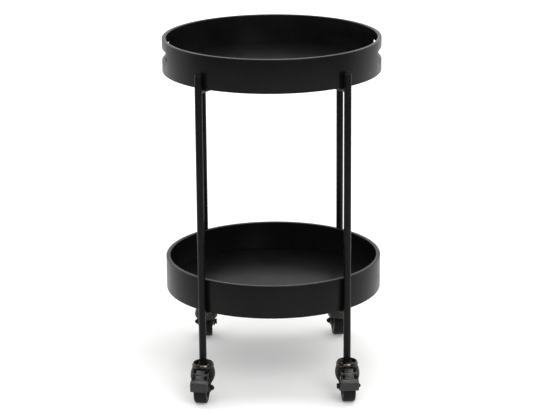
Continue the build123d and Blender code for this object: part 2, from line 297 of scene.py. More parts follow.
def pick(piece, kind, test):
    """Select the verts or edges of the open piece whose middle passes the test."""
    bpy.ops.mesh.select_mode(type=kind)
    bpy.ops.mesh.select_all(action="DESELECT")
    mesh = bmesh.from_edit_mesh(piece.data)
    found = False
    for part in mesh.verts if kind == "VERT" else mesh.edges:
        middle = part.co if kind == "VERT" else (part.verts[0].co + part.verts[1].co) / 2
        if test(middle, part):
            part.select_set(True)
            found = True
    if not found:
        raise RuntimeError(f"nothing to pick on {piece.name}")
    mesh.select_flush_mode()
    bmesh.update_edit_mesh(piece.data)


def outline(name, points):
    """Draw a closed outline from one vertex, extruded from corner to corner, as one face."""
    piece = begin(name, bpy.ops.mesh.primitive_plane_add, size=1)
    bpy.ops.mesh.select_all(action="SELECT")
    bpy.ops.mesh.merge(type="CENTER")
    corners = [Vector(point) for point in points]
    bpy.ops.transform.translate(value=corners[0])
    for here, there in zip(corners, corners[1:]):
        bpy.ops.mesh.extrude_vertices_move(TRANSFORM_OT_translate={"value": there - here})
    bpy.ops.mesh.select_all(action="SELECT")
    bpy.ops.mesh.edge_face_add()
    return piece


def round_corners(piece, rounds):
    """Round the outline's corners. Each round is a corner, its radius and its steps."""
    for corner, radius, steps in rounds:
        spot = Vector(corner)
        pick(piece, "VERT", lambda middle, part: (middle - spot).length < NEAR)
        bpy.ops.mesh.bevel(offset=radius, segments=steps, profile=0.5, affect="VERTICES")


def merge():
    """Weld the open piece's doubled points and turn its faces outwards."""
    bpy.ops.mesh.select_mode(type="VERT")
    bpy.ops.mesh.select_all(action="SELECT")
    bpy.ops.mesh.remove_doubles(threshold=NEAR / 10)
    bpy.ops.mesh.select_all(action="SELECT")
    bpy.ops.mesh.normals_make_consistent(inside=False)


def spin_up(steps, angle=2 * math.pi):
    """Turn the open outline into a ring, or a part of one, round Z, clockwise seen from above."""
    bpy.ops.mesh.select_mode(type="FACE")
    bpy.ops.mesh.select_all(action="SELECT")
    bpy.ops.mesh.delete(type="ONLY_FACE")
    bpy.ops.mesh.select_mode(type="EDGE")
    bpy.ops.mesh.select_all(action="SELECT")
    bpy.ops.mesh.spin(steps=steps, angle=angle, center=(0, 0, 0), axis=(0, 0, 1))
    merge()


def turned(name, points, steps, rounds=()):
    """A piece turned about Z from an outline of radius and height."""
    piece = outline(name, [(radius, 0, height) for radius, height in points])
    round_corners(piece, [((r, 0, h), size, cuts) for (r, h), size, cuts in rounds])
    spin_up(steps)
    return close(piece)


def close(piece, crease=35.0):
    """Leave edit mode with smooth faces, and crisp edges above an angle in degrees."""
    focus(piece)
    bpy.ops.object.shade_smooth_by_angle(angle=math.radians(crease))
    return piece


def modify(piece, kind, **settings):
    """Add one modifier with its settings and apply it."""
    focus(piece)
    added = piece.modifiers.new(kind.title(), kind)
    for setting, value in settings.items():
        setattr(added, setting, value)
    bpy.ops.object.modifier_apply(modifier=added.name)


def soften(piece, width, steps, sharp):
    """Bevel the edges that are sharper than an angle in degrees."""
    limit = math.radians(sharp)
    modify(piece, "BEVEL", width=width, segments=steps, limit_method="ANGLE", angle_limit=limit)


def combine(piece, tool, operation):
    """Cut a tool out of a piece, or weld it on, and drop the tool."""
    modify(piece, "BOOLEAN", operation=operation, solver="EXACT", object=tool)
    bpy.data.objects.remove(tool)


def copy_to(piece, name, place):
    """A copy of a piece with its own mesh, moved by a matrix."""
    focus(piece)
    bpy.ops.object.duplicate(linked=False)
    return settle(rename(bpy.context.object, name), place)


def join(name, pieces):
    """Make one piece of several."""
    deselect()
    for piece in pieces:
        piece.select_set(True)
    bpy.context.view_layer.objects.active = pieces[0]
    bpy.ops.object.join()
    return rename(bpy.context.object, name)


def from_node(node, name):
    """A merged copy of a plain solid, open to be finished further."""
    focus(frame["nodes"][node])
    bpy.ops.object.duplicate(linked=False)
    piece = rename(bpy.context.object, name)
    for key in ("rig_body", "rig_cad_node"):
        if key in piece:
            del piece[key]
    piece.parent = None
    bpy.ops.object.mode_set(mode="EDIT")
    merge()
    return piece


def across(piece, spot):
    """Move a piece turned about Z to a spot, with its axis along X."""
    return settle(piece, Matrix.Translation(spot) @ Matrix.Rotation(QUARTER_TURN, 4, "Y"))


def hexagon(name, flats, bottom, top, edge):
    """A six-sided head with its corners taken off."""
    piece = begin(
        name,
        bpy.ops.mesh.primitive_cylinder_add,
        vertices=6,
        radius=flats / math.sqrt(3),
        depth=top - bottom,
        location=(0, 0, (top + bottom) / 2),
        rotation=(0, 0, math.pi / 6),
    )
    pick(piece, "EDGE", lambda middle, part: True)
    bpy.ops.mesh.bevel(offset=edge, segments=2, profile=0.5, affect="EDGES")
    return close(piece)


def give_finish(piece, material):
    piece.data.materials.clear()
    piece.data.materials.append(material)


def finish_piece(piece, material, body, slot, *nodes):
    """Give a piece its finish, its body and the plain solids that it stands for."""
    give_finish(piece, material)
    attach(piece, body)
    if nodes:
        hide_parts(*nodes)


def deal(piece, name, material, body, slot, corners=CORNERS):
    """Copy a caster piece to its corners, in place of the plain ones."""
    for corner in corners:
        copy = copy_to(piece, f"{corner}_{name}", caster_place(corner))
        finish_piece(copy, material, body.format(corner), slot, f"caster_{corner}_{name}")
    bpy.data.objects.remove(piece)


# Finishes


class Nodes:
    """Adds and links the nodes of one tree."""

    def __init__(self, tree):
        self.tree = tree

    def add(self, kind, **settings):
        node = self.tree.nodes.new(kind)
        for setting, value in settings.items():
            setattr(node, setting, value)
        return node

    def feed(self, source, socket):
        """Link an output to a socket, or set the socket to a colour."""
        if isinstance(source, NodeSocket):
            self.tree.links.new(source, socket)
        else:
            socket.default_value = (*source, 1)

    def spread(self, source, low, high, start=0.3, end=0.7, curve="LINEAR"):
        """Carry a value's span from start to end over to a span from low to high."""
        node = self.add("ShaderNodeMapRange", interpolation_type=curve)
        for socket, value in zip(("From Min", "From Max", "To Min", "To Max"), (start, end, low, high)):
            node.inputs[socket].default_value = value
        self.feed(source, node.inputs["Value"])
        return node.outputs["Result"]

    def mix(self, share, first, second):
        """Mix two outputs or colours by a share."""
        node = self.add("ShaderNodeMix", data_type="RGBA")
        self.feed(share, node.inputs["Factor"])
        self.feed(first, node.inputs[6])
        self.feed(second, node.inputs[7])
        return node.outputs[2]


class Finish(Nodes):
    """Builds one procedural material on the piece's own coordinates."""

    def __init__(self, name):
        self.material = bpy.data.materials.get(name) or bpy.data.materials.new(name)
        self.material.use_nodes = True
        super().__init__(self.material.node_tree)
        self.tree.nodes.clear()
        self.shader = self.add("ShaderNodeBsdfPrincipled")
        output = self.add("ShaderNodeOutputMaterial")
        self.feed(self.shader.outputs["BSDF"], output.inputs["Surface"])
        self.place = self.add("ShaderNodeTexCoord").outputs["Object"]

    def noise(self, scale, detail, rough=0.55, stretch=None):
        node = self.add("ShaderNodeTexNoise")
        node.inputs["Scale"].default_value = scale
        node.inputs["Detail"].default_value = detail
        node.inputs["Roughness"].default_value = rough
        place = self.place
        if stretch:
            mapping = self.add("ShaderNodeMapping")
            mapping.inputs["Scale"].default_value = stretch
            self.feed(place, mapping.inputs["Vector"])
            place = mapping.outputs["Vector"]
        self.feed(place, node.inputs["Vector"])
        return node.outputs["Fac"]

    def mottle(self, colour, scale, detail, dark, light, start=0.3, end=0.7):
        """Clouds of two shades of one colour, each a multiple of it."""
        node = self.add("ShaderNodeValToRGB")
        for element, spot, factor in zip(node.color_ramp.elements, (start, end), (dark, light)):
            element.position = spot
            element.color = (*(min(1.0, part * factor) for part in colour), 1)
        self.feed(self.noise(scale, detail), node.inputs["Fac"])
        return node.outputs["Color"]

    def worn_edges(self, start=0.54, end=0.62):
        """Rises on outward edges. Most finishes use it for wear; moulded plastic uses it for wear and a
        painted highlight.
        """
        return self.spread(self.add("ShaderNodeNewGeometry").outputs["Pointiness"], 0.0, 1.0, start, end)

    def colour(self, source):
        self.feed(source, self.shader.inputs["Base Color"])

    def roughness(self, scale, detail, low, high):
        """Clouds of duller and glossier surface."""
        self.feed(self.spread(self.noise(scale, detail), low, high), self.shader.inputs["Roughness"])

    def bumps(self, *layers):
        """Stack bumps. Each layer is a height, how strong it is and its depth in metres."""
        normal = None
        for height, strength, depth in layers:
            node = self.add("ShaderNodeBump")
            node.inputs["Strength"].default_value = strength
            node.inputs["Distance"].default_value = depth
            self.feed(height, node.inputs["Height"])
            if normal:
                self.feed(normal, node.inputs["Normal"])
            normal = node.outputs["Normal"]
        self.feed(normal, self.shader.inputs["Normal"])

    def metal(self):
        """Make the finish bare or plated metal and hand over the material."""
        self.shader.inputs["Metallic"].default_value = 1.0
        return self.material

    def glossy(self, level):
        """Set how strongly paint, rubber or plastic mirrors and hand over the material."""
        self.shader.inputs["Specular IOR Level"].default_value = level
        return self.material


def satin_paint():
    """Sprayed satin paint over a bent hoop: faint orange peel, cloudy gloss, rubbed edges."""
    look = Finish("satin_black_paint")
    paint = finishes().paint
    clouds = look.mottle(paint, 14, 5, 0.75, 1.3)
    rubbed = look.mottle(paint, 90, 3, 1.4, 5.0, 0.4, 0.7)
    look.colour(look.mix(look.worn_edges(), clouds, rubbed))
    look.roughness(32, 6, 0.24, 0.32)
    look.bumps((look.noise(900, 2), 0.12, 0.03 * MM), (look.noise(160, 3), 0.1, 0.06 * MM))
    return look.glossy(0.21)


def floor_paint():
    """The same paint on the flat floors, flatter in gloss, with a fine pebbled grain and dust."""
    look = Finish("satin_black_floor")
    paint = finishes().paint
    clouds = look.mottle(paint, 10, 6, 0.85, 1.35)
    dust = look.mottle(paint, 1400, 2, 1.2, 4.0, 0.62, 0.82)
    look.colour(look.mix(look.spread(look.noise(6, 3), 0.1, 0.5), clouds, dust))
    look.roughness(24, 6, 0.3, 0.38)
    look.bumps((look.noise(1700, 2), 0.25, 0.03 * MM), (look.noise(260, 3), 0.12, 0.05 * MM))
    return look.glossy(0.15)


def powder_coat():
    """Powder coat on the tubes and bars: a fine even grain with a soft gloss."""
    look = Finish("black_powder_coat")
    coat = finishes().coat
    clouds = look.mottle(coat, 40, 4, 0.8, 1.25)
    rubbed = look.mottle(coat, 220, 3, 1.3, 5.0, 0.45, 0.75)
    look.colour(look.mix(look.worn_edges(), clouds, rubbed))
    look.roughness(70, 5, 0.26, 0.38)
    look.bumps((look.noise(1500, 2), 0.2, 0.03 * MM), (look.noise(380, 2), 0.12, 0.05 * MM))
    return look.glossy(0.18)


def plated_steel(name, colour, rough):
    """Pressed steel with a dark nickel plate, drawn lines and brighter rubbed edges."""
    look = Finish(name)
    stains = look.mottle(colour, 130, 5, 0.7, 1.25, 0.3, 0.72)
    rubbed = look.mottle(colour, 400, 3, 1.5, 2.8)
    look.colour(look.mix(look.worn_edges(0.53, 0.62), stains, rubbed))
    look.roughness(180, 6, rough - 0.06, rough + 0.06)
    drawn_lines = look.noise(900, 3, 0.6, (1, 1, 5))
    look.bumps((drawn_lines, 0.15, 0.03 * MM), (look.noise(150, 3), 0.1, 0.08 * MM))
    return look.metal()


def blackened_steel():
    """Black oxide on bolts, nuts, pins and screws, oily and rubbed bare on the corners."""
    look = Finish("blackened_steel")
    black = finishes().fastener
    oxide = look.mottle(black, 300, 4, 0.7, 1.4)
    bare = look.mottle(black, 700, 3, 2.0, 8.0, 0.35, 0.7)
    look.colour(look.mix(look.worn_edges(0.54, 0.64), oxide, bare))
    look.roughness(420, 5, 0.26, 0.42)
    look.bumps((look.noise(1800, 3), 0.15, 0.02 * MM))
    return look.metal()


def zinc_plate():
    """Bright zinc on washers and bushes, with a crystalline bloom."""
    look = Finish("zinc_plate")
    look.colour(look.mottle(finishes().zinc, 350, 5, 0.7, 1.15))
    look.roughness(240, 4, 0.28, 0.45)
    look.bumps((look.noise(1200, 3), 0.15, 0.02 * MM))
    return look.metal()


def ball_steel():
    """Polished bearing balls with a film of grease."""
    look = Finish("bearing_steel")
    look.colour(look.mottle(finishes().zinc, 500, 3, 0.8, 1.3, 0.35, 0.75))
    look.roughness(700, 3, 0.08, 0.2)
    look.bumps((look.noise(1500, 2), 0.05, 0.01 * MM))
    return look.metal()


def tyre_rubber():
    """Moulded rubber: flat, a little dusty where it rolls."""
    look = Finish("tyre_rubber")
    rubber = finishes().rubber
    clean = look.mottle(rubber, 120, 4, 0.75, 1.3)
    dusty = look.mottle(rubber, 600, 4, 0.8, 2.6, 0.4, 0.75)
    look.colour(look.mix(look.spread(look.noise(60, 4), 0, 0.7), clean, dusty))
    look.roughness(200, 4, 0.42, 0.6)
    look.bumps((look.noise(1100, 3), 0.25, 0.04 * MM))
    return look.glossy(0.2)


def moulded(name, colour, rough, gloss):
    """Moulded plastic with a spark-eroded grain, and edges made lighter as scuffs and as a painted highlight.
    """
    look = Finish(name)
    plain = look.mottle(colour, 150, 4, 0.8, 1.2)
    # Two to four times lighter on the edges: partly scuffs, partly a painted highlight where edges would
    # catch the light
    scuffs_and_highlight = look.mottle(colour, 450, 4, 2.0, 4.0, 0.35, 0.75)
    look.colour(look.mix(look.worn_edges(0.54, 0.6), plain, scuffs_and_highlight))
    look.roughness(260, 5, rough - 0.07, rough + 0.09)
    look.bumps((look.noise(1600, 2), 0.3, 0.05 * MM))
    return look.glossy(gloss)


# Pieces


class CART_OT_plain_nodes(Operator):
    """Finish the solids that stay as they are"""

    bl_idname = "cart.plain_nodes"
    bl_label = "Plain pieces"

    def execute(self, context):
        coat = powder_coat()
        zinc = zinc_plate()
        balls = ball_steel()
        for name, node in frame["nodes"].items():
            if name == "lower_tray_tabs":
                give_finish(node, coat)
            elif name.endswith("balls"):
                give_finish(node, balls)
            elif name.endswith(("washers", "inserts")):
                give_finish(node, zinc)
        return {"FINISHED"}


class CART_OT_tray_rims(Operator):
    """Turn both hoops and cut the hand slots of the upper one"""

    bl_idname = "cart.tray_rims"
    bl_label = "Tray rims"

    rim_cuts = 4
    foot_cuts = 3
    slot_cuts = 3
    slot_steps = 64
    # Edges with a wider turn than this, in degrees, belong to a slot's lip
    lip_turn = 50

    def execute(self, context):
        paint = satin_paint()
        for tier, body in TRAYS.items():
            low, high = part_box(f"{tier}_tray_rim")
            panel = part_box(f"{tier}_tray_base")[1]
            hoop = self.hoop(f"{tier}_hoop", high.x, low.z, high.z, panel.x, panel.z - sizes().lip)
            if tier == "top":
                self.cut_slots(hoop, high.x, high.z)
            finish_piece(close(hoop), paint, body, "tray_paint", f"{tier}_tray_rim")
        return {"FINISHED"}

    def hoop(self, name, radius, foot, top, rabbet, shoulder):
        size = sizes()
        inner = radius - size.wall
        points = [
            (inner, top),
            (radius, top),
            (radius, foot),
            (rabbet, foot),
            (rabbet, shoulder),
            (inner, shoulder),
        ]
        rounds = [
            (points[0], size.rim_edge, self.rim_cuts),
            (points[1], size.rim_edge, self.rim_cuts),
            (points[2], size.foot_edge, self.foot_cuts),
        ]
        return turned(name, points, size.hoop_steps, rounds)

    def cut_slots(self, hoop, radius, top):
        size = sizes()
        level = top - size.slot_drop
        end = size.slot_height / 2
        tool = begin_rod("slot_tool", self.slot_steps, end, 3 * radius, (0, 0, level))
        shift = size.slot_length / 2 - end
        for side in (-1, 1):
            pick(tool, "VERT", lambda middle, part: NEAR < middle.y * side < end + NEAR)
            bpy.ops.transform.translate(value=(0, side * shift, 0))
        combine(hoop, tool, "DIFFERENCE")
        focus(hoop)
        bpy.ops.object.mode_set(mode="EDIT")

        def on_lip(middle, part):
            if len(part.link_faces) != 2 or abs(middle.z - level) > end + NEAR:
                return False
            if abs(middle.y) > size.slot_length / 2 + NEAR or abs(middle.x) < radius / 2:
                return False
            return part.calc_face_angle(0) > math.radians(self.lip_turn)

        pick(hoop, "EDGE", on_lip)
        bpy.ops.mesh.bevel(
            offset=size.slot_edge, segments=self.slot_cuts, profile=0.5, affect="EDGES", clamp_overlap=False
        )


class CART_OT_tray_floors(Operator):
    """Turn the two floor panels with the fine joint line along the wall"""

    bl_idname = "cart.tray_floors"
    bl_label = "Tray floors"

    edge = 0.3 * MM

    def execute(self, context):
        paint = floor_paint()
        size = sizes()
        for tier, body in TRAYS.items():
            low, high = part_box(f"{tier}_tray_base")
            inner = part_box(f"{tier}_tray_rim")[1].x - size.wall - size.joint_line
            tongue = high.z - size.lip
            points = [
                (0, high.z),
                (inner, high.z),
                (inner, tongue),
                (high.x, tongue),
                (high.x, low.z),
                (0, low.z),
            ]
            floor = turned(f"{tier}_floor_panel", points, size.hoop_steps, [(points[1], self.edge, 3)])
            finish_piece(floor, paint, body, "tray_paint", f"{tier}_tray_base")
        return {"FINISHED"}


class CART_OT_legs(Operator):
    """Draw the four tubes and the caps that close them"""

    bl_idname = "cart.legs"
    bl_label = "Legs"

    wall = 1.5 * MM
    tube_edge = 0.35 * MM
    cap_gap = 0.05 * MM
    cap_edge = 0.6 * MM
    cap_foot_edge = 0.3 * MM

    def execute(self, context):
        coat = powder_coat()
        plastic = moulded("cap_plastic", finishes().cap, rough=0.4, gloss=0.22)
        steps = sizes().tube_steps
        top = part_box("leg_end_caps")[1].z
        caps = []
        for corner in CORNERS:
            low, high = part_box(f"leg_{corner}")
            middle = (low + high) / 2
            place = Matrix.Translation((middle.x, middle.y, 0))
            radius = (high.x - low.x) / 2
            inner = radius - self.wall
            tube = turned(
                f"tube_{corner}",
                [(inner, high.z), (radius, high.z), (radius, low.z), (inner, low.z)],
                steps,
                [((radius, end), self.tube_edge, 2) for end in (high.z, low.z)],
            )
            finish_piece(settle(tube, place), coat, "frame", "frame_paint", f"leg_{corner}")
            seat = high.z + self.cap_gap
            cap = turned(
                f"cap_{corner}",
                [(0, top), (radius, top), (radius, seat), (0, seat)],
                steps,
                [((radius, top), self.cap_edge, 3), ((radius, seat), self.cap_foot_edge, 2)],
            )
            caps.append(settle(cap, place))
        finish_piece(join("tube_caps", caps), plastic, "frame", "end_cap", "leg_end_caps")
        return {"FINISHED"}


class CART_OT_crosses(Operator):
    """Draw the round bars under the trays with their welds"""

    bl_idname = "cart.crosses"
    bl_label = "Crosses"

    bar = 4.0 * MM
    clearance = 0.2 * MM
    weld = 7.0 * MM
    throat = 1.4 * MM
    sink = 3.0 * MM
    # A weld's hollow rises by this power and ends as this multiple of its throat
    hollow = 2.2
    swell = 1.45
    weld_steps = 6
    # The part of a bar's end that is pressed flat, as a multiple of a weld
    pressed = 1.2
    # A half bar starts this share of a bar beside the middle, with a flared weld
    half_start = 0.6
    half_weld = 3 * MM
    half_flare = 1.35

    def execute(self, context):
        coat = powder_coat()
        low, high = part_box("leg_rear_right")
        spot = Vector(JOINTS["rear_right_swivel"]["pos_m"])
        reach = spot.xy.length - (high.x - low.x) / 2
        angle = math.atan2(spot.y, spot.x)
        for tier, tray in (("upper", "top"), ("lower", "lower")):
            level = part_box(f"{tray}_tray_base")[0].z - (self.clearance + self.bar)
            long_bar = self.arm(f"{tier}_long_bar", -reach, reach, angle, level)
            finish_piece(long_bar, coat, "frame", "frame_paint", f"{tier}_cross_long_bar")
            start = self.half_start * self.bar
            turns = (math.pi - angle, -angle)
            halves = [self.arm(f"{tier}_half_bar", start, reach, turn, level) for turn in turns]
            both = join(f"{tier}_half_bars", halves)
            finish_piece(both, coat, "frame", "frame_paint", f"{tier}_cross_half_bars")
        return {"FINISHED"}

    def flare(self, end, way):
        """Corners of a hollow weld from the plain bar to the tube, along the bar's length."""
        points = []
        for step in range(self.weld_steps + 1):
            share = step / self.weld_steps
            points.append((self.bar + self.throat * share**self.hollow, end - way * self.weld * (1 - share)))
        points.append((self.bar + self.swell * self.throat, end + way * self.sink))
        return points

    def arm(self, name, start, end, angle, level):
        """Draw a bar along Z and lay it in its own direction under a tray."""
        points = [(0, end + self.sink)] + self.flare(end, 1)[::-1]
        if start < 0:
            points += self.flare(start, -1) + [(0, start - self.sink)]
            welded = (-1, 1)
        else:
            points += [(self.bar, start + self.half_weld), (self.half_flare * self.bar, start), (0, start)]
            welded = (1,)
        bar = turned(name, points, sizes().bar_steps)
        self.flatten(bar, end - self.pressed * self.weld, welded)
        turn = Matrix.Rotation(angle, 4, "Z") @ Matrix.Rotation(QUARTER_TURN, 4, "Y")
        return settle(bar, Matrix.Translation((0, 0, level)) @ turn)

    def flatten(self, bar, start, welded):
        """Press the welds flat where the tray sits, which is -X until the bar is laid."""
        focus(bar)
        bpy.ops.object.mode_set(mode="EDIT")
        for side in welded:
            pick(bar, "VERT", lambda middle, part: middle.x < -self.bar and middle.z * side > start)
            bpy.ops.transform.resize(value=(0, 1, 1), center_override=(-self.bar, 0, 0))


class CART_OT_screws(Operator):
    """Turn the screws under the lower tray with their cross recess"""

    bl_idname = "cart.screws"
    bl_label = "Tray screws"

    head = 4 * MM
    head_edge = 1.4 * MM
    shank = 2 * MM
    # Length, width and height of the tool, half of which goes into the head
    recess = (4 * MM, 0.9 * MM, 2.2 * MM)

    def execute(self, context):
        low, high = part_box("lower_tray_screws")
        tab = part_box("lower_tray_tabs")[0].z
        points = [
            (0, low.z),
            (self.head, low.z),
            (self.head, tab),
            (self.shank, tab),
            (self.shank, high.z),
            (0, high.z),
        ]
        screw = turned("screw", points, sizes().bar_steps, [(points[1], self.head_edge, 4)])
        for turn in (0, QUARTER_TURN):
            tool = begin(
                "recess_tool",
                bpy.ops.mesh.primitive_cube_add,
                size=1,
                location=(0, 0, low.z),
                rotation=(0, 0, turn),
                scale=self.recess,
            )
            combine(screw, tool, "DIFFERENCE")
        close(screw)
        places = [Matrix.Translation((x, y, 0)) for x, y in self.spots()]
        screws = [copy_to(screw, f"screw_{n}", place) for n, place in enumerate(places)]
        bpy.data.objects.remove(screw)
        steel = blackened_steel()
        finish_piece(join("tray_screws", screws), steel, "frame", "dark_steel", "lower_tray_screws")
        return {"FINISHED"}

    def spots(self):
        """Where the plain screws stand, one middle for each separate solid."""
        verts = [v.co.xy for v in frame["nodes"]["lower_tray_screws"].data.vertices]
        spots = []
        for right in (False, True):
            for back in (False, True):
                near = [v for v in verts if (v.x > 0) == right and (v.y > 0) == back]
                xs = [v.x for v in near]
                ys = [v.y for v in near]
                spots.append(((min(xs) + max(xs)) / 2, (min(ys) + max(ys)) / 2))
        return spots


class CART_OT_caster_heads(Operator):
    """Turn the dished heads with their hexagon, riveted foot and threaded stem"""

    bl_idname = "cart.caster_heads"
    bl_label = "Caster heads"

    nut_flats = 14 * MM
    nut_height = 4.0 * MM
    nut_edge = 0.35 * MM
    plate = 2.2 * MM
    rim_height = 3.6 * MM
    rim_width = 3.6 * MM
    slope_height = 4.0 * MM
    slope_width = 2.2 * MM
    skirt_drop = 3.8 * MM
    skirt_wall = 2.6 * MM
    neck = 5 * MM
    rivet = 8 * MM
    rivet_height = 2.6 * MM
    soft_edge = 1.2 * MM
    rim_edge = 0.6 * MM
    skirt_edge = 0.4 * MM
    stem = 4 * MM
    pitch = 1.25 * MM
    thread_depth = 0.45 * MM

    def execute(self, context):
        low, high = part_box("caster_rear_left_stem")
        radius = (high.x - low.x) / 2
        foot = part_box("leg_rear_left")[0].z
        floor = foot - self.nut_height
        dish = self.dish(radius, low.z, floor)
        nut = hexagon("head_nut", self.nut_flats, floor, foot, self.nut_edge)
        head = join("stem", [dish, nut, self.thread(foot, high.z)])
        steel = plated_steel("head_plating", finishes().head, rough=0.2)
        deal(head, "stem", steel, "frame", "dark_steel")
        return {"FINISHED"}

    def dish(self, radius, bottom, floor):
        """The rivet, the plate with its skirt, and the rim that slopes in to its top."""
        collar = bottom + self.rivet_height
        under = floor - self.plate
        skirt = floor - self.skirt_drop
        lip = floor + self.rim_height
        well = radius - self.rim_width
        rivet_corner = (self.rivet, bottom)
        skirt_corner = (radius, skirt)
        slope_foot = (radius, lip - self.slope_height)
        slope_top = (radius - self.slope_width, lip)
        points = [
            (0, bottom),
            rivet_corner,
            (self.rivet, collar),
            (self.neck, collar),
            (self.neck, under),
            (radius - self.skirt_wall, under),
            (radius - self.skirt_wall, skirt),
            skirt_corner,
            slope_foot,
            slope_top,
            (well, lip),
            (well, floor),
            (0, floor),
        ]
        rounds = [
            (rivet_corner, self.soft_edge, 3),
            (skirt_corner, self.skirt_edge, 2),
            (slope_foot, self.soft_edge, 4),
            (slope_top, self.rim_edge, 3),
            ((well, lip), self.rim_edge, 3),
            ((well, floor), self.soft_edge, 4),
        ]
        return turned("head_dish", points, sizes().head_steps, rounds)

    def thread(self, bottom, top):
        root = self.stem - self.thread_depth
        turns = int((top - bottom) / self.pitch)
        points = [(0, bottom)]
        for turn in range(turns):
            points.append((root, bottom + turn * self.pitch))
            points.append((self.stem, bottom + (turn + 0.5) * self.pitch))
        points += [(root, bottom + turns * self.pitch), (root, top), (0, top)]
        return turned("stem_thread", points, sizes().bar_steps)


class CART_OT_caster_forks(Operator):
    """Finish the pressed forks from their plain solids and hem their webs"""

    bl_idname = "cart.caster_forks"
    bl_label = "Caster forks"

    hem_inner = 18.5 * MM
    hem_outer = 20.5 * MM
    hem_foot = 45.6 * MM
    hem_top = 48.8 * MM
    hem_edge = 0.8 * MM
    hem_steps = 40
    # From the axle's direction to each end of the hem, in degrees
    hem_start = 25

    def execute(self, context):
        steel = plated_steel("fork_plating", finishes().fork, rough=0.4)
        for corner in CORNERS:
            fork = close(from_node(f"caster_{corner}_fork", f"{corner}_fork"), crease=32)
            hem = settle(self.hem(), caster_place(corner))
            fork = join(f"{corner}_fork", [fork, hem])
            finish_piece(fork, steel, f"caster_{corner}_swivel", "dark_steel", f"caster_{corner}_fork")
        return {"FINISHED"}

    def hem(self):
        """A rolled hem that stiffens the foot of the web behind the wheel."""
        start = math.radians(self.hem_start)
        section = [
            (self.hem_inner, self.hem_foot),
            (self.hem_outer, self.hem_foot),
            (self.hem_outer, self.hem_top),
            (self.hem_inner, self.hem_top),
        ]
        points = [(radius * math.cos(start), radius * math.sin(start), height) for radius, height in section]
        piece = outline("web_hem", points)
        pick(piece, "VERT", lambda middle, part: abs(middle.z - self.hem_foot) < NEAR)
        bpy.ops.mesh.bevel(offset=self.hem_edge, segments=4, profile=0.5, affect="VERTICES")
        spin_up(self.hem_steps, 2 * start - math.pi)
        bpy.ops.mesh.fill_holes(sides=0)
        merge()
        return close(piece)


class CART_OT_wheels(Operator):
    """Turn the tyres with their mould line and finish the ribbed wheel cores"""

    bl_idname = "cart.wheels"
    bl_label = "Wheels"

    tread = 30.0 * MM
    seat = 23.5 * MM
    half = 12.0 * MM
    shoulder_drop = 0.4 * MM
    mould_line = 0.3 * MM
    mould_rise = 0.12 * MM
    bead_edge = 0.4 * MM
    shoulder_edge = 3.0 * MM
    tread_edge = 2.0 * MM

    def execute(self, context):
        tyre = across(self.tyre(), AXLE)
        deal(tyre, "tyre", tyre_rubber(), "caster_{}_rolling", "tyre_rubber")
        plastic = moulded("hub_plastic", finishes().hub, rough=0.45, gloss=0.4)
        for corner in CORNERS:
            node = f"caster_{corner}_wheel_hub"
            hub = close(from_node(node, f"{corner}_wheel_hub"), crease=32)
            finish_piece(hub, plastic, f"caster_{corner}_rolling", "hub_plastic", node)
        return {"FINISHED"}

    def tyre(self):
        """One flank from its bead to the mould line, and the same on the other side."""
        level = self.tread - self.mould_rise
        flank = [
            (self.seat, self.half),
            (self.tread - self.shoulder_drop, self.half),
            (level, 0.5 * self.half),
            (level, self.mould_line),
        ]
        points = [(radius, -side) for radius, side in flank] + [(self.tread, 0)] + flank[::-1]
        edges = ((self.bead_edge, 2), (self.shoulder_edge, 6), (self.tread_edge, 3))
        rounds = []
        for way in (-1, 1):
            for (radius, side), (edge, cuts) in zip(flank, edges):
                rounds.append(((radius, way * side), edge, cuts))
        return turned("tyre", points, sizes().tyre_steps, rounds)


class CART_OT_axles(Operator):
    """Draw the hexagon bolts and their lock nuts"""

    bl_idname = "cart.axles"
    bl_label = "Axles"

    lug = 17.2 * MM
    radius = 3.0 * MM
    flats = 10 * MM
    flat_edge = 0.45 * MM
    head_height = 4.5 * MM
    nut_height = 3.7 * MM
    collar_foot = 3.6 * MM
    collar_top = 5 * MM
    collar = 4.4 * MM
    collar_edge = 0.7 * MM
    collar_gap = 0.05 * MM
    thread_start = 4.6 * MM
    thread_end = 6.6 * MM
    thread_depth = 0.25 * MM
    pitch = 0.5 * MM
    point_length = 0.4 * MM
    point_depth = 0.7 * MM

    def execute(self, context):
        steel = blackened_steel()
        head = hexagon("axle_head", self.flats, -self.lug - self.head_height, -self.lug, self.flat_edge)
        bolt = across(join("axle_bolt", [self.shank(), head]), AXLE)
        deal(bolt, "axle_bolt", steel, "caster_{}_swivel", "dark_steel")
        body = hexagon("nut_body", self.flats, self.lug, self.lug + self.nut_height, self.flat_edge)
        nut = across(join("axle_nut", [body, self.nut_collar()]), AXLE)
        deal(nut, "axle_nut", steel, "caster_{}_swivel", "dark_steel")
        return {"FINISHED"}

    def shank(self):
        """A plain shank with a short threaded end and a point."""
        start = self.lug + self.thread_start
        end = self.lug + self.thread_end
        points = [(0, -self.lug), (self.radius, -self.lug), (self.radius, start)]
        spot = start
        while spot + self.pitch < end - self.point_length:
            points.append((self.radius - self.thread_depth, spot + self.pitch / 2))
            points.append((self.radius, spot + self.pitch))
            spot += self.pitch
        points += [(self.radius - self.point_depth, end), (0, end)]
        return turned("axle_shank", points, sizes().bar_steps)

    def nut_collar(self):
        bore = self.radius + self.collar_gap
        foot = self.lug + self.collar_foot
        top = self.lug + self.collar_top
        points = [(bore, foot), (self.collar, foot), (self.collar, top), (bore, top)]
        return turned("nut_collar", points, sizes().bar_steps, [(points[2], self.collar_edge, 4)])


